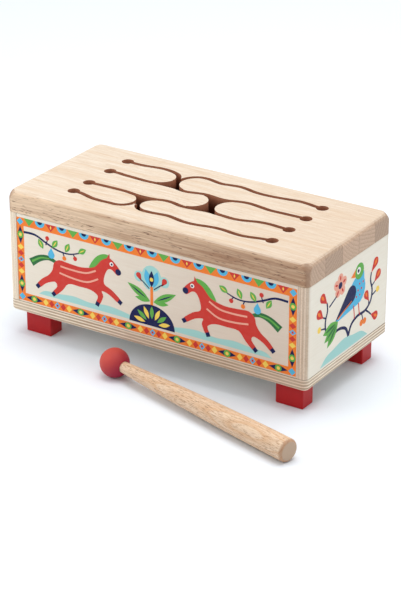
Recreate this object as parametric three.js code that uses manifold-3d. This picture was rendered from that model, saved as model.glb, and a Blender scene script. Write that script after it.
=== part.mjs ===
// A wooden tongue drum (slit drum) with its mallet lying on the table in front of it.
//
// Millimetres, +Z up. X runs along the drum's length and its front faces -Y.
// The drum is a glued box of 7-ply panels that stands on four feet, with a thick solid wood plate
// on top. Four wavy slits and three rounded gaps cut the plate into six tongues, which ring over
// the hollow box when the mallet strikes them. The origin is on the table, in the middle of the
// rectangle that the drum and the mallet cover together.

import * as THREE from 'three';
import { mergeVertices } from 'three/addons/utils/BufferGeometryUtils.js';
import Module from 'manifold-3d';

const wasm = await Module();
wasm.setup();

// ---------------------------------------------------------------- driving dimensions

const DRUM_LENGTH = 280;
const DRUM_DEPTH = 128;
const CORNER_RADIUS = 4.8; // upright corners of the box and the plate
const JOINT_GAP = 0.3; // glue line between two pieces that touch

const FOOT_HEIGHT = 21.5;
const FOOT_LENGTH = 24.6; // along X
const FOOT_WIDTH = 15.6; // along Y
const FOOT_INSET_X = 8.2; // from the box's end to the foot
const FOOT_INSET_Y = 9.7; // from the box's front to the foot
const FOOT_CORNER_RADIUS = 1;
const FOOT_EDGE_ROUND = 0.6;

const PLY = 9; // thickness of the front, back and bottom panels
const END_PLY = 8.3; // thickness of the end panels
const WALL_HEIGHT = 77.5;
const BOTTOM_EDGE_ROUND = 2;

const PLATE_THICKNESS = 18;
const PLATE_EDGE_ROUND = 4.1;
const SANDED_CORNER_RADIUS = 12; // of the plate's four top corners, rounder than its edges
const SANDED_CORNER_REACH = 2.35; // how far that rounding starts outside the plate's sides and top

const SLIT_WIDTH = 4.4;
const SLIT_END_HOLE_DIAMETER = 10.2;
const LEFT_HOLES_X = -93.5; // from the plate's centre
const RIGHT_HOLES_X = 91.8;
const SLIT_STEP = 2.4; // length of one straight step along a slit
const TIP_STEP_DEGREES = 15; // between a slit's points round the tip of a tongue
const TIP_OVERLAP = 2.5; // how far past the centre of a round tip the gap beyond it starts

const SCREW = {
  headRadius: 3.5,
  headHeight: 2.4,
  shankRadius: 1.7,
  threadDepth: 0.35,
  threadPitch: 2,
  length: 24,
  tipLength: 4,
  plainNeck: 1, // the thread ends this far below the bottom panel
  recess: 0.8, // width of one arm of the cross recess
};

const BALL_RADIUS = 12;
const BORE_DEPTH = 16; // of the hole in the ball, from its surface
const STICK_LENGTH = 194; // from the ball's centre to the end of the handle
const STICK_THIN_RADIUS = 4.6;
const STICK_THICK_RADIUS = 9.25;
const STICK_END_ROUND = 3;
const STICK_SWELL_START = BALL_RADIUS - 1; // from the ball's centre
const MALLET_HEADING = -13.9; // degrees about +Z, from the drum's length to the stick
const BALL_FROM_DRUM = { x: -22.2, y: -84.9 }; // ball's centre from the drum's centre

// How finely round surfaces are divided, and how far a cutter runs past what it cuts.
const TIP_SIDES = 48;
const HOLE_SIDES = 20;
const SCREW_SIDES = 12;
const SCREW_HOLE_SIDES = 16;
const STICK_SIDES = 24;
const STICK_SECTIONS = 12;
const ROUND_STEP_DEGREES = 22.5; // round the edge of the handle's end
const BALL_SIDES = 32;
const BALL_RINGS = 18;
const CUT_PAST = 1;

// Heights that follow from these.
const BOX_BOTTOM = FOOT_HEIGHT;
const WALL_BOTTOM = BOX_BOTTOM + PLY;
const PLATE_BOTTOM = WALL_BOTTOM + WALL_HEIGHT;

// ---------------------------------------------------------------- tongues and slits

// The round tips of the six tongues, in the plate's plane, from the plate's centre.
// The left tongues are rooted at the plate's left end and the right ones at its right end.
const TIPS = {
  backLeft: { x: -50.9, y: 26.5, radius: 11.5 },
  backRight: { x: -18, y: 27.4, radius: 14 },
  middleLeft: { x: -3.6, y: -1.6, radius: 13 },
  middleRight: { x: 33, y: 0, radius: 13.8 },
  frontLeft: { x: -51.6, y: -28.8, radius: 10.8 },
  frontRight: { x: -22.8, y: -28.1, radius: 10.5 },
};

// Where the frame's two curved edges meet in a point between facing tips.
const BACK_POINT_Y = 31;
const FRONT_POINT_Y = -33;

// Points on a slit's middle line as it bends round a tongue's tip, by angle in degrees.
function aroundTip(tip, fromDegrees, toDegrees) {
  const steps = Math.ceil(Math.abs(toDegrees - fromDegrees) / TIP_STEP_DEGREES);
  const radius = tip.radius + SLIT_WIDTH / 2;
  return Array.from({ length: steps + 1 }, (_, step) => {
    const degrees = THREE.MathUtils.lerp(fromDegrees, toDegrees, step / steps);
    const angle = THREE.MathUtils.degToRad(degrees);
    return [tip.x + radius * Math.cos(angle), tip.y + radius * Math.sin(angle)];
  });
}

// Middle lines of the slits, as points that a smooth curve passes through. Each begins or ends in
// a round hole near an end of the plate. The back and front slits stop at the frame's point.
const SLITS = {
  backLeft: [[LEFT_HOLES_X, 39.7], [-84, 39.3], [-76, 39.6], [-68, 41], [-59.5, 42], [-51.5, 41.1],
    ...aroundTip(TIPS.backLeft, 62, 8)],
  backRight: [...aroundTip(TIPS.backRight, 172, 110), [-17, 43], [-12, 42.1], [-7, 40.8], [-1, 40],
    [6, 41.4], [14, 42.5], [21, 41.5], [28, 39.6], [36, 38.5], [45, 38.7], [55, 39.8], [64, 41.2],
    [71, 41.9], [79, 40.9], [86, 39.5], [RIGHT_HOLES_X, 39.4]],
  middleBack: [[LEFT_HOLES_X, 14.2], [-86, 14.5], [-78, 13.5], [-68, 12.8], [-56, 12.1],
    [-47, 12.7], [-38, 12.8], [-29, 12.6], [-23, 11.1], [-17, 10.5], [-10, 11.9], [-3, 13.7],
    [4, 13.5], [10, 12.5], [17, 12.1], [23, 13.1], [30, 15.5], [38, 16.7], [46, 15.8], [54, 14.3],
    [61, 13.5], [72, 13.8], [84, 14], [RIGHT_HOLES_X, 14.1]],
  middleFront: [[LEFT_HOLES_X, -15.4], [-84, -14.9], [-70, -14.6], [-58, -14.9], [-51, -16],
    [-43, -17.2], [-35, -16.8], [-28, -16], [-21, -14.3], [-14, -14.4], [-7, -16.3], [-1, -17.1],
    [6, -16.5], [13, -15.5], [20, -14.6], [27, -15.2], [35, -15.9], [42, -16.6], [50, -16],
    [57, -13.8], [64, -11.5], [73, -10.5], [83, -11.2], [RIGHT_HOLES_X, -11.7]],
  frontLeft: [[LEFT_HOLES_X, -36.7], [-86, -37.3], [-79, -39.3], [-72, -41.3], [-64, -42],
    [-57, -41.7], ...aroundTip(TIPS.frontLeft, -85, -18)],
  frontRight: [...aroundTip(TIPS.frontRight, -158, -85), [-16, -40.7], [-9, -39.7], [-2, -39],
    [5, -40.2], [12, -42], [19, -42.7], [27, -42.1], [35, -40.4], [43, -39.3], [51, -39.6],
    [59, -40.8], [67, -41.4], [75, -40.1], [84, -37.9], [RIGHT_HOLES_X, -36.8]],
};

// ---------------------------------------------------------------- materials

function finish(color, roughness, metalness = 0) {
  return new THREE.MeshStandardMaterial({ color, roughness, metalness });
}

const plateWood = finish(0xe3cba6, 0.6);
const plywood = finish(0xe6d8bd, 0.62);
const redPaint = finish(0xb3242c, 0.4);
const stickWood = finish(0xdcb98c, 0.6);
const redRubber = finish(0xc23a43, 0.7);
const zincSteel = finish(0xb9bcc0, 0.35, 1);

// ---------------------------------------------------------------- solids and shapes

// A closed three.js geometry as a solid that can be joined and cut.
function toSolid(geometry) {
  const bare = geometry.clone();
  bare.deleteAttribute('normal');
  bare.deleteAttribute('uv');
  const merged = mergeVertices(bare, 1e-4);
  return new wasm.Manifold(new wasm.Mesh({
    numProp: 3,
    vertProperties: new Float32Array(merged.attributes.position.array),
    triVerts: new Uint32Array(merged.index.array),
  }));
}

function toGeometry(solid) {
  const { vertProperties, triVerts } = solid.getMesh();
  const geometry = new THREE.BufferGeometry();
  geometry.setAttribute('position', new THREE.BufferAttribute(vertProperties, 3));
  geometry.setIndex(new THREE.BufferAttribute(triVerts, 1));
  geometry.computeVertexNormals();
  return geometry;
}

// Cuts a list of solids out of a geometry.
function cut(geometry, cutters) {
  return toGeometry(cutters.reduce((solid, cutter) => solid.subtract(cutter), toSolid(geometry)));
}

function roundedRectangle(length, width, radius) {
  const x = length / 2 - radius;
  const y = width / 2 - radius;
  const shape = new THREE.Shape();
  shape.absarc(x, y, radius, 0, Math.PI / 2);
  shape.absarc(-x, y, radius, Math.PI / 2, Math.PI);
  shape.absarc(-x, -y, radius, Math.PI, 1.5 * Math.PI);
  shape.absarc(x, -y, radius, 1.5 * Math.PI, 2 * Math.PI);
  return shape;
}

// An upright prism of an outline, from one height to another.
function prism(shape, bottom, top) {
  const geometry = new THREE.ExtrudeGeometry(shape, {
    depth: top - bottom,
    bevelEnabled: false,
    curveSegments: 6,
  });
  return geometry.translate(0, 0, bottom);
}

// A rectangular board with rounded upright corners and all its top and bottom edges rounded over.
function roundedBoard(length, width, cornerRadius, edgeRound, bottom, top, steps = 3) {
  const inner = roundedRectangle(
    length - 2 * edgeRound,
    width - 2 * edgeRound,
    cornerRadius - edgeRound,
  );
  const geometry = new THREE.ExtrudeGeometry(inner, {
    depth: top - bottom - 2 * edgeRound,
    bevelThickness: edgeRound,
    bevelSize: edgeRound,
    bevelSegments: steps,
    curveSegments: steps + 1,
  });
  return geometry.translate(0, 0, bottom + edgeRound);
}

// The part of a geometry between two heights, with square edges where it is cut.
function between(geometry, bottom, top) {
  const slab = new THREE.BoxGeometry(2 * DRUM_LENGTH, 2 * DRUM_DEPTH, top - bottom);
  slab.translate(0, 0, (bottom + top) / 2);
  return toGeometry(toSolid(geometry).intersect(toSolid(slab)));
}

function uprightCylinder(x, y, radius, bottom, top, sides) {
  const geometry = new THREE.CylinderGeometry(radius, radius, top - bottom, sides);
  return geometry.rotateX(Math.PI / 2).translate(x, y, (bottom + top) / 2);
}

// ---------------------------------------------------------------- tongue plate

// The smooth line through a slit's points, in short straight steps.
function middleLine(points) {
  const curve = new THREE.SplineCurve(points.map(([x, y]) => new THREE.Vector2(x, y)));
  return curve.getSpacedPoints(Math.round(curve.getLength() / SLIT_STEP));
}

// The outline of a slit: its middle line moved half a slit width to each side.
function slitOutline(line) {
  const offset = line.map((point, index) => {
    const before = line[Math.max(index - 1, 0)];
    const after = line[Math.min(index + 1, line.length - 1)];
    const along = after.clone().sub(before).normalize();
    return new THREE.Vector2(-along.y, along.x).multiplyScalar(SLIT_WIDTH / 2);
  });
  const leftSide = line.map((point, index) => point.clone().add(offset[index]));
  const rightSide = line.map((point, index) => point.clone().sub(offset[index]));
  return new THREE.Shape([...leftSide, ...rightSide.reverse()]);
}

// The open space between two facing round tips, from one boundary line to another.
function tipGap(leftTip, rightTip, lowerLine, upperLine, bottom, top) {
  const start = leftTip.x + TIP_OVERLAP;
  const end = rightTip.x - TIP_OVERLAP;
  const isBetween = (point) => point.x >= start && point.x <= end;
  const lower = lowerLine.filter(isBetween);
  const upper = upperLine.filter(isBetween);
  const space = toSolid(prism(new THREE.Shape([...lower, ...upper.reverse()]), bottom, top));
  const tips = [leftTip, rightTip].map((tip) => toSolid(
    uprightCylinder(tip.x, tip.y, tip.radius, bottom - CUT_PAST, top + CUT_PAST, TIP_SIDES),
  ));
  return tips.reduce((left, tip) => left.subtract(tip), space);
}

function levelLine(leftTip, rightTip, y) {
  return [
    new THREE.Vector2(leftTip.x + TIP_OVERLAP, y),
    new THREE.Vector2(rightTip.x - TIP_OVERLAP, y),
  ];
}

// The plate before it is slit, with its top edges rounded over and its top corners sanded.
function plateBoard(top) {
  const rounded = roundedBoard(DRUM_LENGTH, DRUM_DEPTH, CORNER_RADIUS, PLATE_EDGE_ROUND,
    WALL_BOTTOM, top, 4);
  const sanding = roundedBoard(
    DRUM_LENGTH + 2 * SANDED_CORNER_REACH,
    DRUM_DEPTH + 2 * SANDED_CORNER_REACH,
    SANDED_CORNER_RADIUS,
    SANDED_CORNER_RADIUS - JOINT_GAP,
    BOX_BOTTOM,
    top + SANDED_CORNER_REACH,
    7,
  );
  const sanded = toGeometry(toSolid(rounded).intersect(toSolid(sanding)));
  return between(sanded, PLATE_BOTTOM, top);
}

function tonguePlate() {
  const top = PLATE_BOTTOM + PLATE_THICKNESS;
  const cutBottom = PLATE_BOTTOM - CUT_PAST;
  const cutTop = top + CUT_PAST;

  const lines = Object.fromEntries(
    Object.entries(SLITS).map(([name, points]) => [name, middleLine(points)]),
  );
  const slits = Object.values(lines).map((line) => (
    toSolid(prism(slitOutline(line), cutBottom, cutTop))
  ));

  const isHole = ([x]) => x === LEFT_HOLES_X || x === RIGHT_HOLES_X;
  const holes = Object.values(SLITS).flat().filter(isHole).map(([x, y]) => (
    toSolid(uprightCylinder(x, y, SLIT_END_HOLE_DIAMETER / 2, cutBottom, cutTop, HOLE_SIDES))
  ));

  const { backLeft, backRight, middleLeft, middleRight, frontLeft, frontRight } = TIPS;
  const backPoint = levelLine(backLeft, backRight, BACK_POINT_Y);
  const frontPoint = levelLine(frontLeft, frontRight, FRONT_POINT_Y);
  const gaps = [
    tipGap(backLeft, backRight, lines.middleBack, backPoint, cutBottom, cutTop),
    tipGap(middleLeft, middleRight, lines.middleFront, lines.middleBack, cutBottom, cutTop),
    tipGap(frontLeft, frontRight, frontPoint, lines.middleFront, cutBottom, cutTop),
  ];
  return cut(plateBoard(top), [...slits, ...holes, ...gaps]);
}

// ---------------------------------------------------------------- box

const footX = DRUM_LENGTH / 2 - FOOT_INSET_X - FOOT_LENGTH / 2;
const footY = DRUM_DEPTH / 2 - FOOT_INSET_Y - FOOT_WIDTH / 2;
const FEET = [
  { name: 'front_left', x: -footX, y: -footY },
  { name: 'front_right', x: footX, y: -footY },
  { name: 'back_left', x: -footX, y: footY },
  { name: 'back_right', x: footX, y: footY },
];

// An end panel runs the drum's full depth, and its two outer upright corners are rounded.
function endPanel(side) {
  const outer = prism(roundedRectangle(DRUM_LENGTH, DRUM_DEPTH, CORNER_RADIUS),
    WALL_BOTTOM + JOINT_GAP, PLATE_BOTTOM - JOINT_GAP);
  const endSlab = new THREE.BoxGeometry(END_PLY, 2 * DRUM_DEPTH, 2 * PLATE_BOTTOM);
  endSlab.translate(side * (DRUM_LENGTH / 2 - END_PLY / 2), 0, PLATE_BOTTOM);
  return toGeometry(toSolid(outer).intersect(toSolid(endSlab)));
}

// The front and back panels stand between the end panels.
function longPanel(side) {
  const length = DRUM_LENGTH - 2 * END_PLY - 2 * JOINT_GAP;
  const geometry = new THREE.BoxGeometry(length, PLY, WALL_HEIGHT - 2 * JOINT_GAP);
  return geometry.translate(0, side * (DRUM_DEPTH / 2 - PLY / 2), WALL_BOTTOM + WALL_HEIGHT / 2);
}

// The bottom panel is as large as the plate, with its lower edge rounded over, and has a
// countersunk hole for each foot's screw.
function bottomPanel() {
  const board = between(
    roundedBoard(DRUM_LENGTH, DRUM_DEPTH, CORNER_RADIUS, BOTTOM_EDGE_ROUND, BOX_BOTTOM, PLATE_BOTTOM),
    BOX_BOTTOM,
    WALL_BOTTOM,
  );
  return cut(board, FEET.map(({ x, y }) => screwHole(x, y)));
}

// ---------------------------------------------------------------- feet and their screws

// Each screw's countersunk head is level with the bottom panel's upper face.
const SCREW_TOP = WALL_BOTTOM;
const SCREW_NECK = SCREW_TOP - SCREW.headHeight;
const SCREW_TIP = SCREW_TOP - SCREW.length;

// A solid of revolution about Z, from [radius, height] pairs.
function turned(profile, sides) {
  const points = profile.map(([radius, height]) => new THREE.Vector2(radius, height));
  return new THREE.LatheGeometry(points, sides).rotateX(Math.PI / 2);
}

// The hole for a screw, wide enough for its thread, through the bottom panel and into the foot.
function screwHole(x, y) {
  const wide = SCREW.shankRadius + SCREW.threadDepth + JOINT_GAP;
  const mouth = SCREW.headRadius + JOINT_GAP;
  const hole = turned([
    [0, SCREW_TIP - CUT_PAST],
    [wide, SCREW_TIP],
    [wide, SCREW_NECK - JOINT_GAP],
    [mouth, SCREW_TOP - JOINT_GAP],
    [mouth, SCREW_TOP + CUT_PAST],
    [0, SCREW_TOP + CUT_PAST],
  ], SCREW_HOLE_SIDES);
  return toSolid(hole.translate(x, y, 0));
}

// A wood screw with a pointed tip, a ridged thread, a plain neck and a cross recess in its head.
function screw() {
  const threadStart = SCREW_TIP + SCREW.tipLength;
  const threadEnd = BOX_BOTTOM - SCREW.plainNeck;
  const turns = Math.floor((threadEnd - threadStart) / SCREW.threadPitch);
  const thread = Array.from({ length: turns }, (_, turn) => {
    const height = threadStart + turn * SCREW.threadPitch;
    return [
      [SCREW.shankRadius, height],
      [SCREW.shankRadius + SCREW.threadDepth, height + SCREW.threadPitch / 2],
    ];
  }).flat();
  const body = turned([
    [0, SCREW_TIP],
    ...thread,
    [SCREW.shankRadius, threadEnd],
    [SCREW.shankRadius, SCREW_NECK],
    [SCREW.headRadius, SCREW_TOP],
    [0, SCREW_TOP],
  ], SCREW_SIDES);
  const arms = [0, Math.PI / 2].map((turn) => {
    const arm = new THREE.BoxGeometry(SCREW.headRadius, SCREW.recess, SCREW.headHeight);
    return toSolid(arm.rotateZ(turn).translate(0, 0, WALL_BOTTOM));
  });
  return cut(body, arms);
}

function foot({ x, y }) {
  const block = roundedBoard(FOOT_LENGTH, FOOT_WIDTH, FOOT_CORNER_RADIUS, FOOT_EDGE_ROUND,
    0, FOOT_HEIGHT - JOINT_GAP, 2);
  return cut(block.translate(x, y, 0), [screwHole(x, y)]);
}

// ---------------------------------------------------------------- mallet

// The stick's radius at a distance from the ball's centre: it swells from the ball to the handle.
function stickRadius(distance) {
  const swellLength = STICK_LENGTH - STICK_SWELL_START;
  const along = Math.max(0, (distance - STICK_SWELL_START) / swellLength);
  const swell = Math.sin((Math.PI / 2) * along ** 0.9);
  return STICK_THIN_RADIUS + (STICK_THICK_RADIUS - STICK_THIN_RADIUS) * swell;
}

// The stick lies along +X, with the ball's centre at the origin.
function malletStick() {
  const thinEnd = BALL_RADIUS - BORE_DEPTH + JOINT_GAP;
  const roundStart = STICK_LENGTH - STICK_END_ROUND;
  const profile = [new THREE.Vector2(0, thinEnd), new THREE.Vector2(STICK_THIN_RADIUS, thinEnd)];
  for (let section = 0; section <= STICK_SECTIONS; section += 1) {
    const share = section / STICK_SECTIONS;
    const distance = THREE.MathUtils.lerp(STICK_SWELL_START, roundStart, share);
    profile.push(new THREE.Vector2(stickRadius(distance), distance));
  }
  const flatRadius = stickRadius(roundStart) - STICK_END_ROUND;
  for (let degrees = ROUND_STEP_DEGREES; degrees <= 90; degrees += ROUND_STEP_DEGREES) {
    const angle = THREE.MathUtils.degToRad(degrees);
    profile.push(new THREE.Vector2(
      flatRadius + STICK_END_ROUND * Math.cos(angle),
      roundStart + STICK_END_ROUND * Math.sin(angle),
    ));
  }
  profile.push(new THREE.Vector2(0, STICK_LENGTH));
  return new THREE.LatheGeometry(profile, STICK_SIDES).rotateZ(-Math.PI / 2);
}

function malletHead() {
  const ball = new THREE.SphereGeometry(BALL_RADIUS, BALL_SIDES, BALL_RINGS);
  const boreRadius = STICK_THIN_RADIUS + JOINT_GAP;
  const boreLength = BORE_DEPTH + CUT_PAST;
  const bore = new THREE.CylinderGeometry(boreRadius, boreRadius, boreLength, STICK_SIDES);
  bore.rotateZ(Math.PI / 2).translate(BALL_RADIUS - BORE_DEPTH + boreLength / 2, 0, 0);
  return cut(ball, [toSolid(bore)]);
}

// ---------------------------------------------------------------- assembly

function part(name, geometry, material) {
  const mesh = new THREE.Mesh(geometry, material);
  mesh.name = name;
  return mesh;
}

function drum() {
  const group = new THREE.Group();
  group.add(
    part('tongue_plate', tonguePlate(), plateWood),
    part('front_panel', longPanel(-1), plywood),
    part('back_panel', longPanel(1), plywood),
    part('left_end_panel', endPanel(-1), plywood),
    part('right_end_panel', endPanel(1), plywood),
    part('bottom_panel', bottomPanel(), plywood),
  );
  FEET.forEach((place) => {
    group.add(part(`foot_${place.name}`, foot(place), redPaint));
    const fastener = part(`screw_${place.name}`, screw(), zincSteel);
    fastener.position.set(place.x, place.y, 0);
    group.add(fastener);
  });
  return group;
}

// The mallet rests on its ball and on the thick end of its handle, so the stick slopes a little.
function mallet() {
  const contact = STICK_LENGTH - STICK_END_ROUND;
  const slope = Math.asin((BALL_RADIUS - stickRadius(contact)) / contact);
  const group = new THREE.Group();
  group.add(
    part('mallet_stick', malletStick(), stickWood),
    part('mallet_head', malletHead(), redRubber),
  );
  group.rotation.set(0, slope, THREE.MathUtils.degToRad(MALLET_HEADING), 'ZYX');
  group.position.set(BALL_FROM_DRUM.x, BALL_FROM_DRUM.y, BALL_RADIUS);
  return group;
}

const set = new THREE.Group();
set.add(drum(), mallet());
set.updateMatrixWorld(true);
const footprint = new THREE.Box3().setFromObject(set, true).getCenter(new THREE.Vector3());
set.position.set(-footprint.x, -footprint.y, 0);

export default set;
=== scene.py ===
"""A wooden tongue drum on four red feet, with its mallet lying in front of it.

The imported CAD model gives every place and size. Lengths in the named values below are
millimetres, unless they say otherwise, and Blender's own units are metres.
"""

import math

import bmesh
import bpy
from mathutils import Euler, Matrix, Vector
from mathutils.geometry import delaunay_2d_cdt


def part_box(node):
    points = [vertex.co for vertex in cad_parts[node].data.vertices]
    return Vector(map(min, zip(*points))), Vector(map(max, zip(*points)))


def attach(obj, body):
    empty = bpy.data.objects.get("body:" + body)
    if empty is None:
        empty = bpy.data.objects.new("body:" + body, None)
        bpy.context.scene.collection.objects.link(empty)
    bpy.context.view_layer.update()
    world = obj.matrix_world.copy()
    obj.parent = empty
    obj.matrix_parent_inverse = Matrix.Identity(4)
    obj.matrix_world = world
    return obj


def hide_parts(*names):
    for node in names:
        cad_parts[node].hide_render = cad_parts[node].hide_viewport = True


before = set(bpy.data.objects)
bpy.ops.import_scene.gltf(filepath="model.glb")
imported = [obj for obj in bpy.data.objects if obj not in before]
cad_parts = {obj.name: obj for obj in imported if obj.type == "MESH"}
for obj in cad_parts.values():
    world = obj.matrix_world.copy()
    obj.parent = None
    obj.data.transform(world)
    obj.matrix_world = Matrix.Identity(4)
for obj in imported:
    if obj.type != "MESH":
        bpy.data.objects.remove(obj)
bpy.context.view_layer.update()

MM = 0.001

plate_low, plate_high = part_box("tongue_plate")
bottom_low, bottom_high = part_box("bottom_panel")
DRUM_CENTRE = Vector(((plate_low.x + plate_high.x) / 2, (plate_low.y + plate_high.y) / 2, 0))
DRUM_SIZE = (plate_high - plate_low) / MM

# ---------------------------------------------------------------- node materials


class Look:
    """A procedural material: its Principled shader and the nodes that feed it."""

    def __init__(self, name, constants):
        self.material = bpy.data.materials.new(name)
        self.material.use_nodes = True
        self.tree = self.material.node_tree
        self.shader = self.tree.nodes["Principled BSDF"]
        for socket, value in constants.items():
            self.shader.inputs[socket].default_value = value

    def node(self, kind, inputs, output=0, **settings):
        """A new node, fed by a dictionary of input names or numbers, and one of its outputs."""
        node = self.tree.nodes.new("ShaderNode" + kind)
        for name, value in settings.items():
            setattr(node, name, value)
        for socket, value in inputs.items():
            self.feed(node.inputs[socket], value)
        return node.outputs[output]

    def feed(self, socket, value):
        if isinstance(value, bpy.types.NodeSocket):
            self.tree.links.new(value, socket)
        else:
            socket.default_value = value

    def math(self, operation, a, b=0.0, c=0.0):
        return self.node("Math", {0: a, 1: b, 2: c}, operation=operation)

    def place(self, centre=Vector((0, 0, 0))):
        """The point's place on the resting object, in millimetres from a centre in metres."""
        here = self.node("TexCoord", {}, output="Object")
        moved = self.node("VectorMath", {0: here, 1: centre}, operation="SUBTRACT")
        return self.node("VectorMath", {0: moved, "Scale": 1 / MM}, operation="SCALE")

    def axes(self, vector):
        node = self.tree.nodes.new("ShaderNodeSeparateXYZ")
        self.feed(node.inputs[0], vector)
        return tuple(node.outputs)

    def facing(self):
        """The direction in which the surface looks, as its x, y and z."""
        return self.axes(self.node("NewGeometry", {}, output="True Normal"))

    def vector(self, x, y, z):
        return self.node("CombineXYZ", {0: x, 1: y, 2: z})

    def stretched(self, vector, x, y, z):
        return self.node("VectorMath", {0: vector, 1: (x, y, z)}, operation="MULTIPLY")

    def noise(self, vector, detail=2.0, roughness=0.5, distortion=0.0):
        """Noise from 0 to 1 whose features are about one unit of the vector across."""
        inputs = {"Vector": vector, "Scale": 1.0, "Detail": detail, "Roughness": roughness,
                  "Distortion": distortion}
        return self.node("TexNoise", inputs)

    def chance(self, number, output="Value"):
        """A fixed random value for each whole number."""
        return self.node("TexWhiteNoise", {"W": number}, output=output, noise_dimensions="1D")

    def ease(self, value, low, high, to_low=0.0, to_high=1.0):
        """A smooth step: to_low below low, to_high above high."""
        inputs = {0: value, 1: low, 2: high, 3: to_low, 4: to_high}
        return self.node("MapRange", inputs, interpolation_type="SMOOTHSTEP")

    def mix(self, factor, a, b, blend="MIX"):
        inputs = {0: factor, 6: a, 7: b}
        return self.node("Mix", inputs, output=2, data_type="RGBA", blend_type=blend)

    def colour(self, value):
        self.feed(self.shader.inputs["Base Color"], value)

    def roughness(self, value):
        self.feed(self.shader.inputs["Roughness"], value)

    def relief(self, height, depth):
        """Bump from a height of 0 to 1 that stands for a depth in millimetres."""
        inputs = {"Height": height, "Strength": 1.0, "Distance": depth * MM}
        self.feed(self.shader.inputs["Normal"], self.node("Bump", inputs))


def rgb(red, green, blue):
    """A display colour, 0 to 255, as the linear colour that a shader takes."""
    def linear(value):
        share = value / 255
        return share / 12.92 if share <= 0.04045 else ((share + 0.055) / 1.055) ** 2.4
    return (linear(red), linear(green), linear(blue), 1.0)


RING_DRIFT = 5.0  # how far the growth rings wander, in ring widths


def timber(look, place, ring_width, pith):
    """Solid wood with its grain along X: growth rings, fibres and pores, each from 0 to 1.

    place is in millimetres and pith is the middle of the tree, as (y, z) from place's origin.
    """
    _, y, z = look.axes(place)
    drift = look.noise(look.stretched(place, 0.010, 0.022, 0.022), detail=2.0)
    wander = look.math("MULTIPLY", look.math("SUBTRACT", drift, 0.5), RING_DRIFT * ring_width)
    across = look.math("SUBTRACT", y, pith[0])
    down = look.math("SUBTRACT", z, pith[1])
    radius = look.math("SQRT", look.math("ADD", look.math("MULTIPLY", across, across),
                                         look.math("MULTIPLY", down, down)))
    turns = look.math("DIVIDE", look.math("ADD", radius, wander), ring_width)
    phase = look.math("FRACT", turns)
    rings = look.math("MULTIPLY", look.math("POWER", phase, 2.2),
                      look.ease(phase, 1.0, 0.86))
    fibres = look.noise(look.stretched(place, 0.045, 1.9, 1.9), detail=3.0, roughness=0.6)
    streaks = look.noise(look.stretched(place, 0.15, 1.9, 1.9), detail=1.0)
    patches = look.noise(look.stretched(place, 0.03, 0.09, 0.09), detail=1.0)
    pores = look.math("MULTIPLY", look.ease(streaks, 0.62, 0.72), look.ease(patches, 0.36, 0.54))
    return rings, fibres, pores


# ---------------------------------------------------------------- wood, paint and rubber

STAVES = 5  # boards edge-glued side by side into the plate
SLIT_FIELD_MARGIN = 7  # the outer walls of the plate lie within this of its edges
PLATE_RING_WIDTH = 3.4
STICK_RING_WIDTH = 2.6
STICK_PITH = (14.0, -9.0)  # the stick is cut from well outside the middle of its tree


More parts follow.
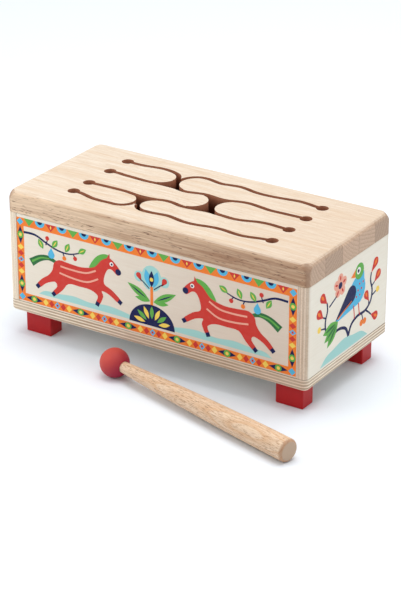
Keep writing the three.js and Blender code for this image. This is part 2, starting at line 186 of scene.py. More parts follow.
def plate_wood():
    look = Look("plate_wood", {"Specular IOR Level": 0.3})
    place = look.place((plate_low + plate_high) / 2)
    x, y, z = look.axes(place)

    # Each stave comes from its own tree, so its rings have a middle of their own.
    stave_width = DRUM_SIZE.y / STAVES
    along_staves = look.math("DIVIDE", look.math("ADD", y, DRUM_SIZE.y / 2), stave_width)
    red, green, blue = look.axes(look.chance(look.math("FLOOR", along_staves), output="Color"))
    pith = (look.math("MULTIPLY_ADD", red, 160.0, -80.0), look.math("MULTIPLY_ADD", green, 60.0, 30.0))
    shifted = look.vector(look.math("MULTIPLY_ADD", blue, 400.0, x), y, z)
    rings, fibres, pores = timber(look, shifted, PLATE_RING_WIDTH, pith)

    # The top is pale, with faint figure, and a little browner at the right, as in the photo.
    figure = look.noise(look.stretched(place, 0.013, 0.2, 0.42), detail=4.0, roughness=0.6)
    wood = look.mix(look.ease(fibres, 0.25, 0.8), rgb(230, 219, 204), rgb(200, 178, 152))
    wood = look.mix(look.ease(figure, 0.42, 0.7, 0.0, 0.5), wood, rgb(206, 176, 142))
    wood = look.mix(look.math("MULTIPLY", rings, 0.5), wood, rgb(204, 175, 146))
    wood = look.mix(look.math("MULTIPLY", pores, 0.5), wood, rgb(186, 146, 114))
    wood = look.mix(look.ease(x, 20.0, 140.0, 0.0, 0.22), wood, rgb(200, 164, 130))

    # The long sides show brown figure with short dark pores. They darken towards the right, which
    # is partly the photo's shading.
    nx, ny, nz = look.facing()
    end_on, side_on = look.math("ABSOLUTE", nx), look.math("ABSOLUTE", ny)
    figure_and_painted_shade = look.math("ADD", look.ease(figure, 0.34, 0.68, -0.3, 0.32),
                         look.ease(x, -150.0, 110.0, 0.05, 0.85))
    side = look.mix(figure_and_painted_shade, rgb(231, 203, 171), rgb(170, 131, 101))
    side = look.mix(look.ease(fibres, 0.35, 0.75, 0.0, 0.35), side, rgb(160, 118, 94))
    side = look.mix(pores, side, rgb(98, 62, 44))
    wood = look.mix(look.ease(side_on, 0.35, 0.85), wood, side)

    # The ends show the end grain of each stave, with its growth rings and a dark glue line.
    tone = look.math("MULTIPLY_ADD", red, 0.26, 0.80)
    ends = look.mix(look.math("MULTIPLY", rings, 0.55), rgb(206, 176, 150), rgb(160, 126, 102))
    ends = look.mix(look.ease(look.noise(look.stretched(place, 1.0, 0.9, 0.9), detail=3.0),
                              0.4, 0.7, 0.0, 0.35), ends, rgb(150, 118, 98))
    ends = look.mix(1.0, ends, look.vector(tone, tone, tone), blend="MULTIPLY")
    to_seam = look.math("ABSOLUTE", look.math("SUBTRACT", look.math("FRACT", along_staves), 0.5))
    ends = look.mix(look.ease(to_seam, 0.482, 0.496, 0.0, 0.45), ends, rgb(120, 88, 68))
    wood = look.mix(look.ease(end_on, 0.35, 0.85), wood, ends)
    corner = look.ease(look.math("MINIMUM", end_on, side_on), 0.15, 0.55, 0.0, 0.6)
    wood = look.mix(corner, wood, rgb(152, 114, 88))

    # The router left the slit walls scorched; their darkening below the rim is painted shade.
    inside_x = look.math("LESS_THAN", look.math("ABSOLUTE", x), DRUM_SIZE.x / 2 - SLIT_FIELD_MARGIN)
    inside_y = look.math("LESS_THAN", look.math("ABSOLUTE", y), DRUM_SIZE.y / 2 - SLIT_FIELD_MARGIN)
    steep = look.ease(look.math("ABSOLUTE", nz), 0.98, 0.80)
    wall = look.math("MULTIPLY", look.math("MULTIPLY", inside_x, inside_y), steep)
    scorch_and_painted_shade = look.mix(look.ease(z, -4.0, 9.0), rgb(92, 42, 24), rgb(200, 136, 104))
    scorch_and_painted_shade = look.mix(look.ease(fibres, 0.35, 0.75, 0.0, 0.4), scorch_and_painted_shade, rgb(110, 60, 38))
    wood = look.mix(wall, wood, scorch_and_painted_shade)

    look.colour(wood)
    look.roughness(look.math("MULTIPLY_ADD", fibres, 0.2, 0.45))
    look.relief(look.math("SUBTRACT", fibres, pores), 0.05)
    return look.material


# How fine the fibres are along x, y and z, by the axis that the plies are stacked along.
PLYWOOD_GRAIN = ((1.1, 0.06, 1.1), (0.06, 1.1, 1.1), (0.07, 0.07, 0.8))

# The photo's light falls off towards the right along the drum's long sides. The plywood's colour
# stands for that: it is multiplied by these at their left and right ends.
LONG_SIDE_TINT = ((0.94, 0.91, 0.89, 1), (0.86, 0.77, 0.74, 1))


def plywood(name, low, high, axis, outer_side, first_ply, ply, contrast=1.0):
    """Plywood between two corners of its panel, its plies stacked along an axis, 0 to 2.

    outer_side is the sign of its outer face along the axis, whose ply is first_ply thick, and
    contrast is how strongly the plies show on the edges.
    """
    look = Look(name, {"Specular IOR Level": 0.35})
    outer = high if outer_side > 0 else low
    place = look.place(outer)
    depth = look.math("MULTIPLY", look.axes(place)[axis], -outer_side)
    wander = look.noise(look.stretched(place, 0.05, 0.05, 0.05), detail=1.0)
    layer = look.math("DIVIDE", look.math("ADD", depth, ply - first_ply), ply)
    layer = look.math("ADD", layer, look.math("MULTIPLY_ADD", wander, 0.2, -0.1))
    odd = look.math("MODULO", look.math("FLOOR", layer), 2.0)
    to_joint = look.math("ABSOLUTE", look.math("SUBTRACT", look.math("FRACT", layer), 0.5))
    below_face = look.ease(depth, 0.35, 0.6)

    fibres = look.noise(look.stretched(place, *PLYWOOD_GRAIN[axis]), detail=3.0)
    cloud = look.noise(look.stretched(place, 0.02, 0.02, 0.03), detail=2.0)
    wood = look.mix(look.ease(fibres, 0.3, 0.8, 0.0, 0.3), rgb(240, 233, 217), rgb(228, 214, 193))
    wood = look.mix(look.ease(cloud, 0.45, 0.8, 0.0, 0.2), wood, rgb(226, 214, 196))
    edge = look.mix(look.ease(fibres, 0.3, 0.8), rgb(250, 238, 217), rgb(232, 214, 188))
    odd = look.math("MULTIPLY", odd, look.ease(cloud, 0.3, 0.7, 0.5 * contrast, 0.95 * contrast))
    edge = look.mix(odd, edge, rgb(180, 152, 123))
    edge = look.mix(look.ease(to_joint, 0.38, 0.48, 0.0, 0.4 * contrast), edge, rgb(116, 86, 64))
    along = look.axes(look.place(DRUM_CENTRE))[0]
    long_side = look.math("ABSOLUTE", look.facing()[1])
    tint = look.mix(look.ease(along, -130.0, 100.0), *LONG_SIDE_TINT)
    wood = look.mix(below_face, wood, edge)
    look.colour(look.mix(long_side, wood, look.mix(1.0, wood, tint, blend="MULTIPLY")))
    look.roughness(look.math("MULTIPLY_ADD", fibres, 0.15, 0.5))
    look.relief(fibres, 0.02)
    return look.material


def red_paint():
    look = Look("foot_paint", {"Roughness": 0.42, "Specular IOR Level": 0.3})
    place = look.place(DRUM_CENTRE)
    cloud = look.noise(look.stretched(place, 0.12, 0.12, 0.12), detail=3.0)
    fibres = look.noise(look.stretched(place, 0.25, 2.0, 2.0), detail=2.0)
    look.colour(look.mix(cloud, rgb(166, 6, 12), rgb(188, 18, 22)))
    look.relief(fibres, 0.03)
    return look.material


def stick_wood(centre, turn):
    look = Look("stick_wood", {"Specular IOR Level": 0.35})
    place = look.place(centre)
    place = look.node("VectorRotate", {"Vector": place, "Rotation": turn},
                      rotation_type="EULER_XYZ", invert=True)
    rings, fibres, pores = timber(look, place, STICK_RING_WIDTH, STICK_PITH)
    wood = look.mix(look.ease(fibres, 0.3, 0.75), rgb(234, 209, 181), rgb(210, 176, 142))
    wood = look.mix(look.math("MULTIPLY", rings, 0.7), wood, rgb(206, 154, 104))
    flecks = look.noise(look.stretched(place, 0.2, 1.2, 1.2), detail=3.0, roughness=0.7)
    wood = look.mix(look.ease(flecks, 0.50, 0.66, 0.0, 0.65), wood, rgb(168, 118, 82))
    wood = look.mix(look.math("MULTIPLY", pores, 0.8), wood, rgb(124, 80, 54))
    # The rounded rim is browner than the stick, and the flat end is paler.
    along = look.axes(place)[0]
    rim = look.ease(along, STICK_LENGTH - STICK_END_ROUND - 0.6, STICK_LENGTH - 1.2)
    wood = look.mix(look.math("MULTIPLY", rim, 0.6), wood, rgb(160, 112, 80))
    end = look.ease(along, STICK_LENGTH - 0.5, STICK_LENGTH - 0.1)
    wood = look.mix(look.math("MULTIPLY", end, 0.9), wood, rgb(188, 162, 138))
    look.colour(wood)
    look.roughness(look.math("MULTIPLY_ADD", fibres, 0.2, 0.42))
    look.relief(look.math("SUBTRACT", fibres, pores), 0.05)
    return look.material


def ball_rubber(centre):
    look = Look("ball_rubber", {"Specular IOR Level": 0.4})
    place = look.place(centre)
    x, y, z = look.axes(place)
    cloud = look.noise(look.stretched(place, 0.09, 0.09, 0.09), detail=3.0)
    grain = look.noise(look.stretched(place, 3.0, 3.0, 3.0), detail=2.0)
    # The rubber is paler on its upper left, which is partly the photo's light.
    painted_light_side = look.math("SUBTRACT", look.math("ADD", z, look.math("MULTIPLY", y, -0.3)), x)
    painted_light_side = look.math("MULTIPLY_ADD", cloud, 8.0, painted_light_side)
    look.colour(look.mix(look.ease(painted_light_side, -10.0, 22.0), rgb(156, 12, 52), rgb(200, 74, 60)))
    look.roughness(look.math("MULTIPLY_ADD", grain, 0.15, 0.55))
    look.relief(grain, 0.04)
    return look.material


def screw_steel():
    look = Look("screw_steel", {"Metallic": 1.0})
    brushed = look.noise(look.stretched(look.place(DRUM_CENTRE), 2.0, 2.0, 0.3), detail=2.0)
    look.colour(look.mix(brushed, rgb(180, 182, 186), rgb(206, 207, 208)))
    look.roughness(look.math("MULTIPLY_ADD", brushed, 0.2, 0.25))
    return look.material


def ink_film(name, colour):
    look = Look("ink_" + name, {"Roughness": 0.6, "Specular IOR Level": 0.2})
    place = look.place(DRUM_CENTRE)
    cloud = look.noise(look.stretched(place, 0.25, 0.25, 0.25), detail=3.0)
    worn = tuple(value * 0.93 + 0.04 for value in colour[:3]) + (1.0,)
    look.colour(look.mix(look.ease(cloud, 0.35, 0.8, 0.0, 0.35), colour, worn))
    return look.material


# ---------------------------------------------------------------- meshes

WELD = 0.01 * MM
EASED_EDGE = 0.4  # radius of every edge that the CAD model leaves sharp
SHARP = math.radians(40)


def finished(name, mesh, body, material):
    """Adds a mesh to the scene as a piece of the object, shaded smooth with crisp flats."""
    for polygon in mesh.polygons:
        polygon.use_smooth = True
    mesh.set_sharp_from_angle(angle=SHARP)
    mesh.materials.clear()
    mesh.materials.append(material)
    piece = bpy.data.objects.new(name, mesh)
    bpy.context.scene.collection.objects.link(piece)
    shading = piece.modifiers.new("flats_stay_flat", "WEIGHTED_NORMAL")
    shading.keep_sharp = True
    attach(piece, body)
    return piece


def eased_copy(node, material, sunk=None):
    """A finer stand-in for a drum node, with its sharp edges eased.

    sunk is a function that says how far to move a vertex, for a face that lies a little deeper.
    """
    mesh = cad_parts[node].data.copy()
    form = bmesh.new()
    form.from_mesh(mesh)
    bmesh.ops.remove_doubles(form, verts=form.verts, dist=WELD)
    bmesh.ops.dissolve_limit(form, angle_limit=math.radians(0.3), verts=form.verts, edges=form.edges)
    if sunk:
        for vertex in form.verts:
            vertex.co += sunk(vertex.co)
    sharp = [edge for edge in form.edges if edge.is_manifold and edge.calc_face_angle() > SHARP]
    bmesh.ops.bevel(form, geom=sharp, offset=EASED_EDGE * MM, segments=2, profile=0.5,
                    affect="EDGES", clamp_overlap=True)
    form.to_mesh(mesh)
    form.free()
    piece = finished(node + "_fine", mesh, "drum", material)
    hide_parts(node)
    return piece


# ---------------------------------------------------------------- box, plate and feet

PRINT_RECESS = 0.25  # the printed faces lie this far in, so that the ink stays inside the box
PLY_THICKNESS = 1.386
OUTER_PLY = 0.6  # left of the outermost ply once the panel's face is sanded
BOTTOM_PLY = 9 / 7
STRIPE_CONTRAST = {"left_end_panel": 0.3, "right_end_panel": 0.6}  # fainter plies than elsewhere

PANELS = {
    "front_panel": Vector((0, -1, 0)),
    "back_panel": Vector((0, 1, 0)),
    "left_end_panel": Vector((-1, 0, 0)),
    "right_end_panel": Vector((1, 0, 0)),
}


def outer_face_sunk(low, high, out):
    """Moves the vertices on the outer face inwards by the recess."""
    outermost = max(low.dot(out), high.dot(out))

    def sunk(point):
        return -out * PRINT_RECESS * MM if point.dot(out) > outermost - WELD else Vector()
    return sunk


def make_drum():
    eased_copy("tongue_plate", plate_wood())
    for node, out in PANELS.items():
        low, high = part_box(node)
        axis = 0 if abs(out.x) > 0 else 1
        material = plywood("plywood_" + node, low, high, axis, out[axis], OUTER_PLY, PLY_THICKNESS,
                           STRIPE_CONTRAST.get(node, 1.0))
        eased_copy(node, material, outer_face_sunk(low, high, out))
    eased_copy("bottom_panel", plywood(
        "plywood_bottom", bottom_low, bottom_high, 2, -1, BOTTOM_PLY, BOTTOM_PLY))
    paint = red_paint()
    steel = screw_steel()
    for place in ("front_left", "front_right", "back_left", "back_right"):
        eased_copy("foot_" + place, paint)
        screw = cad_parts["screw_" + place]
        screw.material_slots[0].material = steel


# ---------------------------------------------------------------- mallet

BALL_RADIUS = 12
BORE_DEPTH = 16
STICK_LENGTH = 194
STICK_THIN_RADIUS = 4.6
STICK_THICK_RADIUS = 9.25
STICK_END_ROUND = 3
FIT_GAP = 0.3
MALLET_HEADING = math.radians(-13.9)
MALLET_SIDES = 64


def stick_radius(distance):
    """The stick's radius at a distance from the ball's centre."""
    start = BALL_RADIUS - 1
    along = max(0.0, (distance - start) / (STICK_LENGTH - start))
    swell = math.sin(math.pi / 2 * along ** 0.9)
    return STICK_THIN_RADIUS + (STICK_THICK_RADIUS - STICK_THIN_RADIUS) * swell


def lathe(profile):
    """A closed solid of revolution about X, from (distance along X, radius) pairs."""
    form = bmesh.new()
    rings = []
    for distance, radius in profile:
        if radius < 1e-6:
            rings.append([form.verts.new((distance * MM, 0, 0))] * MALLET_SIDES)
            continue
        ring = []
        for side in range(MALLET_SIDES):
            angle = 2 * math.pi * side / MALLET_SIDES
            ring.append(form.verts.new((distance * MM, radius * MM * math.cos(angle),
                                        radius * MM * math.sin(angle))))
        rings.append(ring)
    for one, other in zip(rings, rings[1:]):
        for side in range(MALLET_SIDES):
            after = (side + 1) % MALLET_SIDES
            corners = [one[side], one[after], other[after], other[side]]
            form.faces.new(list(dict.fromkeys(corners)))
    bmesh.ops.recalc_face_normals(form, faces=form.faces)
    mesh = bpy.data.meshes.new("turned")
    form.to_mesh(mesh)
    form.free()
    return mesh


def arc(centre, radius, start, end, steps):
    """Points on an arc, by angles in degrees."""
    angles = [math.radians(start + (end - start) * step / steps) for step in range(steps + 1)]
    return [(centre[0] + radius * math.cos(angle), centre[1] + radius * math.sin(angle))
            for angle in angles]


def make_mallet():
    contact = STICK_LENGTH - STICK_END_ROUND
    slope = math.asin((BALL_RADIUS - stick_radius(contact)) / contact)
    head_low, head_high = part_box("mallet_head")
    centre = (head_low + head_high) / 2
    turn = Euler((0, slope, MALLET_HEADING), "XYZ")
    lying = Matrix.Translation(centre) @ turn.to_matrix().to_4x4()

    thin_end = BALL_RADIUS - BORE_DEPTH + FIT_GAP
    sections = 48
    stick = [(thin_end, 0.0), (thin_end, STICK_THIN_RADIUS)]
    for section in range(sections + 1):
        distance = BALL_RADIUS - 1 + (contact - BALL_RADIUS + 1) * section / sections
        stick.append((distance, stick_radius(distance)))
    flat = stick_radius(contact) - STICK_END_ROUND
    stick += arc((contact, flat), STICK_END_ROUND, 90, 0, 8)[1:]
    stick.append((STICK_LENGTH, 0.0))

    bore = STICK_THIN_RADIUS + FIT_GAP
    mouth = math.degrees(math.asin(bore / BALL_RADIUS))
    head = arc((0, 0), BALL_RADIUS, 180, mouth, 40)
    head += [(BALL_RADIUS - BORE_DEPTH, bore), (BALL_RADIUS - BORE_DEPTH, 0.0)]

    for name, profile, slot, material in (
        ("mallet_stick", stick, "stick_wood", stick_wood(centre, turn)),
        ("mallet_head", head, "ball_rubber", ball_rubber(centre)),
    ):
        mesh = lathe(profile)
        mesh.transform(lying)
        piece = finished(name + "_fine", mesh, "mallet", material)
        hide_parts(name)


# ---------------------------------------------------------------- flat shapes of ink

# Shapes are lists of (across, up) points in millimetres, seen from outside the panel: across from
# the drum's middle and up from the panel's lower edge. A picture is a list of (ink, layer, shape).

LAYER = 0.04  # thickness of one layer of ink
UP = Vector((0, 0, 1))

INKS = {
    "orange": (240, 126, 44),
    "sky": (84, 182, 220),
    "aqua": (164, 212, 206),
    "green": (98, 172, 74),
    "deep_green": (46, 108, 58),
    "red": (206, 56, 46),
    "pink": (236, 168, 146),
    "navy": (12, 22, 76),
    "yellow": (246, 210, 92),
    "white": (244, 242, 234),
}


def smooth(points, closed=True, steps=4):
    """A smooth line through a few points."""
    count = len(points)
    line = []
    for index in range(count if closed else count - 1):
        near = [index + shift for shift in (-1, 0, 1, 2)]
        near = [spot % count if closed else min(max(spot, 0), count - 1) for spot in near]
        corners = [points[spot] for spot in near]
        for step in range(steps):
            t = step / steps
            line.append(tuple(
                0.5 * (2 * q + (r - p) * t + (2 * p - 5 * q + 4 * r - s) * t * t
                       + (3 * q - p - 3 * r + s) * t ** 3)
                for p, q, r, s in zip(*corners)))
    return line if closed else line + [points[-1]]


def turned(outline, degrees, centre):
    """An outline drawn round (0, 0), turned and moved."""
    cos, sin = math.cos(math.radians(degrees)), math.sin(math.radians(degrees))
    return [(centre[0] + u * cos - v * sin, centre[1] + u * sin + v * cos) for u, v in outline]


def disc(centre, radius, height=None, steps=18):
    """A round shape, or an oval one with its own half height."""
    height = height or radius
    angles = [2 * math.pi * step / steps for step in range(steps)]
    return [(centre[0] + radius * math.cos(angle), centre[1] + height * math.sin(angle))
            for angle in angles]


def diamond(centre, half_length, half_height):
    u, v = centre
    return [(u - half_length, v), (u, v - half_height), (u + half_length, v), (u, v + half_height)]


def rectangle(left, bottom, right, top):
    return [(left, bottom), (right, bottom), (right, top), (left, top)]


def petal(centre, length, width, degrees=90, steps=8):
    """A leaf with a point at each end."""
    side = [(length * (step / steps - 0.5), width / 2 * math.sin(math.pi * step / steps))
            for step in range(steps + 1)]
    return turned(side + [(u, -v) for u, v in side[-2:0:-1]], degrees, centre)


def drop(tip, middle, radius, steps=12):
    """A drop, from its tip to the middle of its round end."""
    length = math.dist(tip, middle)
    lean = math.degrees(math.asin(radius / length))
    outline = [(0, 0)] + arc((length, 0), radius, -90 - lean, 90 + lean, steps)
    direction = math.degrees(math.atan2(middle[1] - tip[1], middle[0] - tip[0]))
    return turned(outline, direction, tip)


def ribbon(points, start_width, end_width=None, steps=4):
    """A smooth stroke through some points, whose width may change along it."""
    end_width = start_width if end_width is None else end_width
    line = smooth(points, closed=False, steps=steps)
    left, right = [], []
    for index, (u, v) in enumerate(line):
        before, after = line[max(index - 1, 0)], line[min(index + 1, len(line) - 1)]
        along = Vector(after) - Vector(before)
        along.normalize()
        half = (start_width + (end_width - start_width) * index / (len(line) - 1)) / 2
        left.append((u - along.y * half, v + along.x * half))
        right.append((u + along.y * half, v - along.x * half))
    return left + right[::-1]


def mirrored(picture, about, scale=1.0):
    """A picture turned left to right about an upright line, and scaled across."""
    return [(ink, layer, [(about - scale * (u - about), v) for u, v in shape])
            for ink, layer, shape in picture]


def counterclockwise(shape):
    area = sum(a[0] * b[1] - b[0] * a[1] for a, b in zip(shape, shape[1:] + shape[:1]))
    return shape if area > 0 else shape[::-1]


def add_layer(form, shapes, height, spot):
    """Adds the union of some shapes as one closed film; spot places an (across, up, out)."""
    points, faces = [], []
    for shape in shapes:
        faces.append(list(range(len(points), len(points) + len(shape))))
        points += [Vector(point) for point in counterclockwise(shape)]
    corners, _, cells, _, _, sources = delaunay_2d_cdt(points, [], faces, 1, 0.02)
    triangles = [cell for cell, source in zip(cells, sources) if source]
    bottom = [form.verts.new(spot(*corner, -LAYER)) for corner in corners]
    top = [form.verts.new(spot(*corner, height)) for corner in corners]
    rim = {}  # the edges that have a triangle on one side only, in a fixed order
    for triangle in triangles:
        form.faces.new([top[corner] for corner in triangle])
        form.faces.new([bottom[corner] for corner in reversed(triangle)])
        for one, other in zip(triangle, triangle[1:] + triangle[:1]):
            if (other, one) in rim:
                del rim[(other, one)]
            else:
                rim[(one, other)] = True
    for one, other in rim:
        form.faces.new([top[other], top[one], bottom[one], bottom[other]])


def print_pictures(pictures):
    """Lays a picture on the outer face of each panel, as one piece for each ink."""
    for ink, colour in INKS.items():
        form = bmesh.new()
        for node, picture in pictures.items():
            out = PANELS[node]
            low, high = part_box(node)
            right = UP.cross(out)
            face = max(low.dot(out), high.dot(out)) - PRINT_RECESS * MM
            corner = right * DRUM_CENTRE.dot(right) + out * face + UP * low.z

            def spot(across, up, height):
                return corner + (right * across + UP * up + out * height) * MM

            for layer in sorted({layer for name, layer, shape in picture if name == ink}):
                shapes = [shape for name, place, shape in picture if (name, place) == (ink, layer)]
                add_layer(form, shapes, (layer + 1) * LAYER, spot)
        bmesh.ops.delete(form, geom=[vertex for vertex in form.verts if not vertex.link_faces],
                         context="VERTS")
        mesh = bpy.data.meshes.new("print")
        form.to_mesh(mesh)
        form.free()
        finished("print_" + ink, mesh, "drum", ink_film(ink, rgb(*colour)))


# ---------------------------------------------------------------- the pictures

BAND = 6.9  # width of the border
LEFT, RIGHT, LOWER, UPPER = -131.2, 130.6, 1.3, 74.1  # the border's outer edges
MIDDLE = -0.8  # the line that the long panels' picture is mirrored about
LONG_GEM, SHORT_GEM = 19.0, 6.4  # lengths of the border's diamonds, before they are fitted in
GEM_END_GAP, GEM_SIDE_GAP = 0.25, 0.3  # left at the ends and at the sides of each diamond
BORDER_ITEMS = 23  # triangles and half-round shields along the top, in turn


def gem(ink, centre, half_length, half_height):
    """A diamond of the border; the long navy ones carry a green and yellow dot."""
    shapes = [(ink, 1, diamond(centre, half_length, half_height))]
    if ink == "navy":
        shapes += [("green", 2, disc(centre, 3.0)), ("yellow", 3, disc(centre, 1.5))]
    if ink == "sky":
        shapes.append(("red", 2, disc(centre, 1.1, steps=10)))
    return shapes


def gem_row(start, end, groups, across):
    """Diamonds that fill a band: a long one, then five short ones, over and over."""
    row = (["navy", "yellow", "red", "sky", "red", "yellow"] * groups) + ["navy"]
    lengths = [LONG_GEM if ink == "navy" else SHORT_GEM for ink in row]
    scale = (end - start) / sum(lengths)
    shapes = []
    for ink, length in zip(row, lengths):
        half = length * scale / 2
        shapes += gem(ink, (start + half, across), half - GEM_END_GAP, BAND / 2 - GEM_SIDE_GAP)
        start += 2 * half
    return shapes


def upright(shapes):
    """Swaps across and up, for the border's sides."""
    return [(ink, layer, [(v, u) for u, v in shape]) for ink, layer, shape in shapes]


def border():
    inner_left, inner_right = LEFT + BAND, RIGHT - BAND
    shapes = [
        ("orange", 0, rectangle(LEFT, LOWER, RIGHT, LOWER + BAND)),
        ("orange", 0, rectangle(LEFT, UPPER - BAND, RIGHT, UPPER)),
        ("orange", 0, rectangle(LEFT, LOWER, inner_left, UPPER)),
        ("orange", 0, rectangle(inner_right, LOWER, RIGHT, UPPER)),
    ]
    for corner in (LEFT + BAND / 2, RIGHT - BAND / 2):
        for level in (LOWER, UPPER - BAND):
            shapes.append(("sky", 1, diamond((corner, level + BAND / 2), 3.2, 3.2)))

    pitch = (inner_right - inner_left) / BORDER_ITEMS
    for item in range(BORDER_ITEMS):
        u = inner_left + (item + 0.5) * pitch
        if item % 2:
            shapes.append(("sky", 1, arc((u, UPPER), 4.8, -180, 0, 12)))
            shapes.append(("navy", 2, arc((u, UPPER), 2.4, -180, 0, 8)))
        else:
            ink = "green" if item % 4 == 0 else "red"
            shapes.append((ink, 1, [(u - 5.0, UPPER), (u, UPPER - 6.0), (u + 5.0, UPPER)]))
            if ink == "red":
                shapes.append(("yellow", 2, diamond((u, UPPER - 2.4), 0.8, 1.7)))
    shapes += gem_row(inner_left, inner_right, 5, LOWER + BAND / 2)
    for side in (LEFT, inner_right):
        shapes += upright(gem_row(LOWER + BAND, UPPER - BAND, 1, side + BAND / 2))
    return shapes


def placed(picture, centre, scale):
    """A picture drawn round (0, 0), moved and scaled."""
    return [(ink, layer, [(centre[0] + scale * u, centre[1] + scale * v) for u, v in shape])
            for ink, layer, shape in picture]


def pony():
    """A plain cantering horse that faces right, about 75 long, drawn round its own middle."""
    body = smooth([
        (12, 10.5), (2, 8.2), (-9, 8.6), (-18, 9.2), (-23, 5.6), (-24.4, 0), (-28.4, -5.4),
        (-34, -9.4), (-39.4, -15.4), (-36.8, -17.4), (-30.4, -12.4), (-22.6, -9.4), (-20.6, -13),
        (-25, -18.4), (-22.6, -20.6), (-15.6, -14.6), (-10, -8.2), (0, -7.8), (10, -8),
        (16.4, -11.4), (14.6, -17), (17.6, -18.2), (21.2, -10.8), (20, -6.4), (27, -8),
        (35, -12.8), (37.2, -10.2), (29, -3.6), (22.4, -0.4), (22.6, 6), (25.6, 12),
        (29.4, 12.8), (34.2, 9.4), (37.2, 11.4), (35.6, 15.2), (30.4, 20), (26.4, 21.4),
        (20.4, 18.4), (16, 13.4),
    ], steps=3)
    shapes = [
        ("red", 2, body),
        ("red", 2, [(27.8, 20), (27.4, 25), (24.6, 20.6)]),
        ("green", 1, smooth([(27.4, 23.2), (21.4, 23.4), (14.6, 19), (9, 10), (14, 10), (19, 15),
                             (25, 19)])),
        ("deep_green", 1, ribbon([(-21, 6.6), (-28, 8.6), (-36, 6.6), (-44, 1.4)], 2.4, 6.4)),
        ("green", 2, ribbon([(-27, 8.2), (-35, 7.2), (-43.2, 2.4)], 0.7, 1.7)),
        ("navy", 3, disc((35.0, 12.2), 2.5)),
        ("white", 3, disc((29.2, 17.2), 1.7)),
        ("navy", 4, disc((29.4, 17.1), 0.9, steps=10)),
        ("pink", 3, ribbon([(-17, 4.6), (-6, 4.0), (6, 4.6), (15, 8.6)], 1.4)),
        ("pink", 3, ribbon([(-18, -1), (-6, -2.6), (7, -2.4), (17, 2.4)], 1.4)),
    ]
    for u, v, lean in ((-38.2, -16.4, 45), (-23.8, -19.6, 45), (16, -17.8, 70), (36.2, -11.6, -35)):
        shapes.append(("navy", 3, turned(rectangle(-1.7, -1.7, 1.7, 1.7), lean, (u, v))))
    return shapes


def sprig():
    """A twig that grows to the right from the border, with leaves and berries in turn."""
    stem = [(-124.4, 62), (-113, 62), (-102, 57.4), (-91, 53.6), (-80, 53), (-70, 56)]
    shapes = [("navy", 1, ribbon(stem, 2.0, 1.0))]
    for u, v, lean in ((-107.6, 55.6, -60), (-93.6, 58.6, 55), (-81.4, 58, 65), (-67, 58.4, 30)):
        shapes.append(("green", 2, petal((u, v), 9.0, 5.0, lean)))
        shapes.append(("yellow", 3, petal((u, v), 6.0, 0.9, lean)))
    for ink, u, v in (("red", -101, 61.8), ("orange", -84.6, 48.2), ("red", -74, 50.4)):
        shapes.append(("navy", 1, ribbon([(u + 0.6, v), (u - 1.6, 55.6 if v > 55 else 53.4)], 1.0)))
        shapes.append((ink, 2, disc((u, v), 1.9)))
    shapes.append(("sky", 2, drop((-97.4, 54.4), (-97.4, 48.2), 3.2)))
    return shapes


def plant_side():
    """What stands to the left of the plant's stem: a large leaf, a small one and a bud."""
    return [
        ("green", 1, petal((-13, 37), 24, 6.4, 152)),
        ("navy", 2, petal((-13, 37), 17, 1.2, 152)),
        ("green", 1, petal((-9.6, 31.6), 14, 4.2, 176)),
        ("navy", 2, ribbon([(-3, 42), (-8, 46), (-12, 48.6)], 0.9)),
        ("aqua", 0, disc((-12.6, 50.4), 4.6)),
        ("red", 2, drop((-10.2, 46.6), (-13, 51.4), 2.3)),
    ]


def plant():
    """A tulip on a stem, above a half disc with rays."""
    half_disc = [(MIDDLE + 1.18 * (u - MIDDLE), v) for u, v in arc((MIDDLE, 10.2), 18.2, 0, 180, 24)]
    shapes = plant_side() + mirrored(plant_side(), MIDDLE) + [
        ("navy", 1, half_disc),
        ("orange", 1, rectangle(MIDDLE - 1.3, 28.2, MIDDLE + 1.3, 44)),
        ("aqua", 0, disc((MIDDLE, 51), 9.4, 11.0)),
        ("sky", 2, petal((MIDDLE - 3.6, 50.6), 15, 6.0, 105)),
        ("sky", 2, petal((MIDDLE + 3.6, 50.6), 15, 6.0, 75)),
        ("navy", 3, petal((MIDDLE, 50.6), 14, 5.0)),
        ("yellow", 4, disc((MIDDLE, 50.2), 1.7)),
    ]
    rays = 7
    for ray in range(rays):
        lean = 180 * (ray + 0.5) / rays
        middle = arc((MIDDLE, 11.4), 10.4, lean, lean, 1)[0]
        ink = "green" if ray % 2 else "yellow"
        shapes.append((ink, 2, petal((MIDDLE + 1.15 * (middle[0] - MIDDLE), middle[1]), 11, 3.6, lean)))
    return shapes


def ground():
    """A low wavy strip below a pony."""
    top = [(-110.8, 11), (-104, 15), (-90, 15.6), (-76, 17), (-60, 15.4), (-44, 17.2), (-30, 16),
           (-21.4, 14.4)]
    return [("aqua", 0, smooth(top, closed=False) + [(-21.4, 11)])]


def long_picture():
    left_side = sprig() + ground() + placed(pony(), (-70.2, 35.6), 1.08)
    return border() + plant() + left_side + mirrored(left_side, MIDDLE)


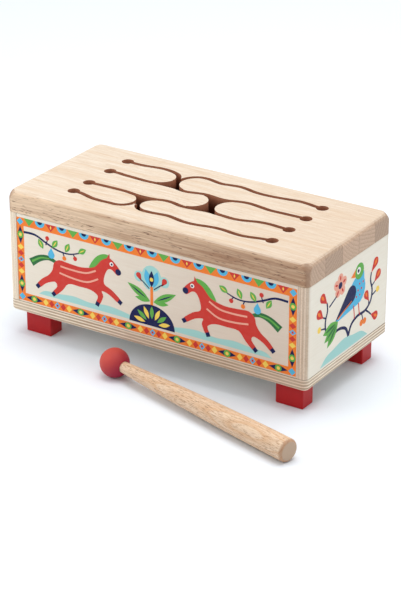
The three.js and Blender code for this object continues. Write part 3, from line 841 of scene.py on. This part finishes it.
def bird():
    """A plain songbird that faces left, perched."""
    shapes = [
        ("sky", 1, drop((-22, 31), (13, 46.6), 12.2)),
        ("sky", 1, ribbon([(16, 46), (16.6, 60)], 16, 12)),
        ("green", 2, disc((15.2, 62), 6.8)),
        ("white", 3, disc((13.8, 62.8), 3.0)),
        ("navy", 4, disc((13.4, 62.8), 1.5)),
        ("orange", 1, [(10, 66), (1.6, 60.8), (10, 58.4)]),
        ("navy", 2, drop((-21, 33), (3.2, 46.6), 7.4)),
        ("orange", 3, ribbon([(-17.6, 33.6), (-6, 37.6), (4, 40.8)], 1.3, 0.7)),
        ("red", 2, ribbon([(7, 35.8), (8.4, 29), (9, 24)], 1.1)),
        ("red", 2, ribbon([(15, 35), (16, 29), (17, 24)], 1.1)),
    ]
    for lean in (188, 207, 226):
        middle = arc((-17, 31.6), 11.4, lean, lean, 1)[0]
        shapes.append(("green", 2, petal(middle, 23, 8.6, lean)))
        shapes.append(("deep_green", 3, petal(middle, 16, 2.4, lean)))
    for row in range(3):
        for mark in range(2):
            shapes.append(("red", 2, disc((16 - 2.4 * row + 5.4 * mark, 51 - 4.8 * row), 1.0, steps=8)))
    return shapes


def bud(tip, middle, radius):
    """A red bud with an orange streak, from its tip to the middle of its round end."""
    lean = math.degrees(math.atan2(middle[1] - tip[1], middle[0] - tip[0]))
    return [("red", 2, drop(tip, middle, radius)),
            ("orange", 3, petal(middle, 1.7 * radius, 0.7 * radius, lean))]


def branch_arm():
    """The right arm of a forked branch, with buds and a berry."""
    return [
        ("navy", 1, ribbon([(0, 12.6), (4.4, 20.6), (14, 24.2), (26, 24.2), (34.4, 29), (36.6, 38),
                            (33.6, 47), (34.6, 54)], 2.8, 1.7)),
        ("navy", 1, ribbon([(36, 41.6), (40.6, 44)], 1.6, 1.1)),
        ("navy", 1, ribbon([(35.6, 33), (43.6, 35)], 1.6, 1.1)),
        ("yellow", 2, disc((45.6, 35.4), 2.6)),
    ] + bud((34.4, 53.4), (41.4, 60.4), 3.9) + bud((40, 43.4), (46.2, 48.6), 3.9)


def blossom(centre, petals=5):
    """An open flower seen from the front."""
    shapes = [("navy", 3, disc(centre, 2.8))]
    for turn in range(petals):
        lean = 360 * turn / petals + 90
        shapes.append(("pink", 1, disc(arc(centre, 6.0, lean, lean, 1)[0], 4.0)))
        shapes.append(("red", 2, petal(arc(centre, 6.2, lean, lean, 1)[0], 4.6, 2.0, lean)))
    return shapes


def end_picture():
    """A bird on a forked branch above a hill."""
    hill = smooth([(-43, 2), (-34, 8), (-22, 10.4), (-6, 13), (8, 10.6), (21, 8.6), (31, 2)],
                  closed=False)
    return bird() + branch_arm() + mirrored(branch_arm(), 0.0) + blossom((-14.6, 61)) + [
        ("aqua", 0, hill),
        ("navy", 1, ribbon([(-31, 49), (-24, 52), (-19, 54.4)], 1.6, 1.2)),
        ("navy", 1, ribbon([(31.6, 26.6), (31.6, 31)], 1.6, 1.2)),
        ("navy", 1, ribbon([(27.6, 23.6), (32, 20.4), (36, 17)], 1.7, 1.2)),
        ("orange", 2, disc((20.6, 15.6), 2.7)),
        ("orange", 2, disc((25.6, 15.6), 2.7)),
        ("navy", 1, ribbon([(21, 23), (23, 17)], 1.4, 1.0)),
    ] + bud((31.8, 30.4), (27.2, 37.4), 3.5) + bud((35.6, 17), (43.2, 13.4), 3.8)


def make_prints():
    print_pictures({
        "front_panel": long_picture(),
        "back_panel": long_picture(),
        "right_end_panel": end_picture(),
        "left_end_panel": mirrored(end_picture(), 0.0),
    })


# ---------------------------------------------------------------- stage, lights and camera

CAMERA_FROM_DRUM = Vector((0.9183, -1.4169, 0.8175))  # metres, from the drum's middle on the floor
CAMERA_DOWN = math.radians(24.764)
CAMERA_HEADING = math.radians(32.852)
CAMERA_LENS = 138.03
SENSOR = 36


def make_camera():
    data = bpy.data.cameras.new("camera")
    data.lens = CAMERA_LENS
    data.sensor_width = SENSOR
    camera = bpy.data.objects.new("camera", data)
    camera.location = DRUM_CENTRE + CAMERA_FROM_DRUM
    camera.rotation_euler = (math.pi / 2 - CAMERA_DOWN, 0, CAMERA_HEADING)
    bpy.context.scene.collection.objects.link(camera)
    bpy.context.scene.camera = camera


FLOOR_HALF_SIZE = 6.0  # metres


def make_floor():
    half = FLOOR_HALF_SIZE
    mesh = bpy.data.meshes.new("floor")
    corners = [(-half, -half, 0), (half, -half, 0), (half, half, 0), (-half, half, 0)]
    mesh.from_pydata(corners, [], [(0, 1, 2, 3)])
    look = Look("floor_white", {"Roughness": 0.9, "Specular IOR Level": 0.1})
    cloud = look.noise(look.place(DRUM_CENTRE), detail=1.0)
    look.colour(look.mix(cloud, (0.85, 0.89, 0.94, 1), (0.84, 0.88, 0.93, 1)))
    mesh.materials.append(look.material)
    floor = bpy.data.objects.new("floor", mesh)
    bpy.context.scene.collection.objects.link(floor)


def make_light(name, place, size, power):
    """A square soft light that faces the drum: place and size in metres, power in watts."""
    data = bpy.data.lights.new(name, "AREA")
    data.size = size
    data.energy = power
    light = bpy.data.objects.new(name, data)
    light.location = DRUM_CENTRE + Vector(place)
    light.rotation_euler = (-Vector(place)).to_track_quat("-Z", "Y").to_euler()
    light.visible_camera = False
    bpy.context.scene.collection.objects.link(light)


SURROUND_COLOUR = (0.98, 0.99, 1.0, 1)
SURROUND_STRENGTH = 0.765
FRONT_DIMMING = 0.45  # how much weaker the surround is low down in front


def make_world():
    """An even white surround that is dimmer low down in front."""
    world = bpy.data.worlds.new("studio")
    world.use_nodes = True
    nodes, links = world.node_tree.nodes, world.node_tree.links
    direction = nodes.new("ShaderNodeTexCoord")
    axes = nodes.new("ShaderNodeSeparateXYZ")
    links.new(direction.outputs["Generated"], axes.inputs[0])
    forward = nodes.new("ShaderNodeMapRange")
    upward = nodes.new("ShaderNodeMapRange")
    for ease, axis, low, high in ((forward, "Y", 0.2, -0.8), (upward, "Z", 0.8, 0.1)):
        ease.interpolation_type = "SMOOTHSTEP"
        ease.inputs["From Min"].default_value = low
        ease.inputs["From Max"].default_value = high
        links.new(axes.outputs[axis], ease.inputs["Value"])
    dimming = nodes.new("ShaderNodeMath")
    dimming.operation = "MULTIPLY"
    links.new(forward.outputs[0], dimming.inputs[0])
    links.new(upward.outputs[0], dimming.inputs[1])
    strength = nodes.new("ShaderNodeMath")
    strength.operation = "MULTIPLY_ADD"
    strength.inputs[1].default_value = -FRONT_DIMMING
    strength.inputs[2].default_value = SURROUND_STRENGTH
    links.new(dimming.outputs[0], strength.inputs[0])
    background = nodes["Background"]
    background.inputs["Color"].default_value = SURROUND_COLOUR
    links.new(strength.outputs[0], background.inputs["Strength"])
    bpy.context.scene.world = world


def make_stage():
    make_floor()
    make_world()
    make_light("overhead", (0.1, 0.25, 1.7), 1.4, 20)
    make_light("left", (-0.42, -0.42, 0.34), 0.3, 0.9)
    bpy.context.scene.view_settings.view_transform = "Standard"


make_camera()
make_stage()
make_drum()
make_prints()
make_mallet()
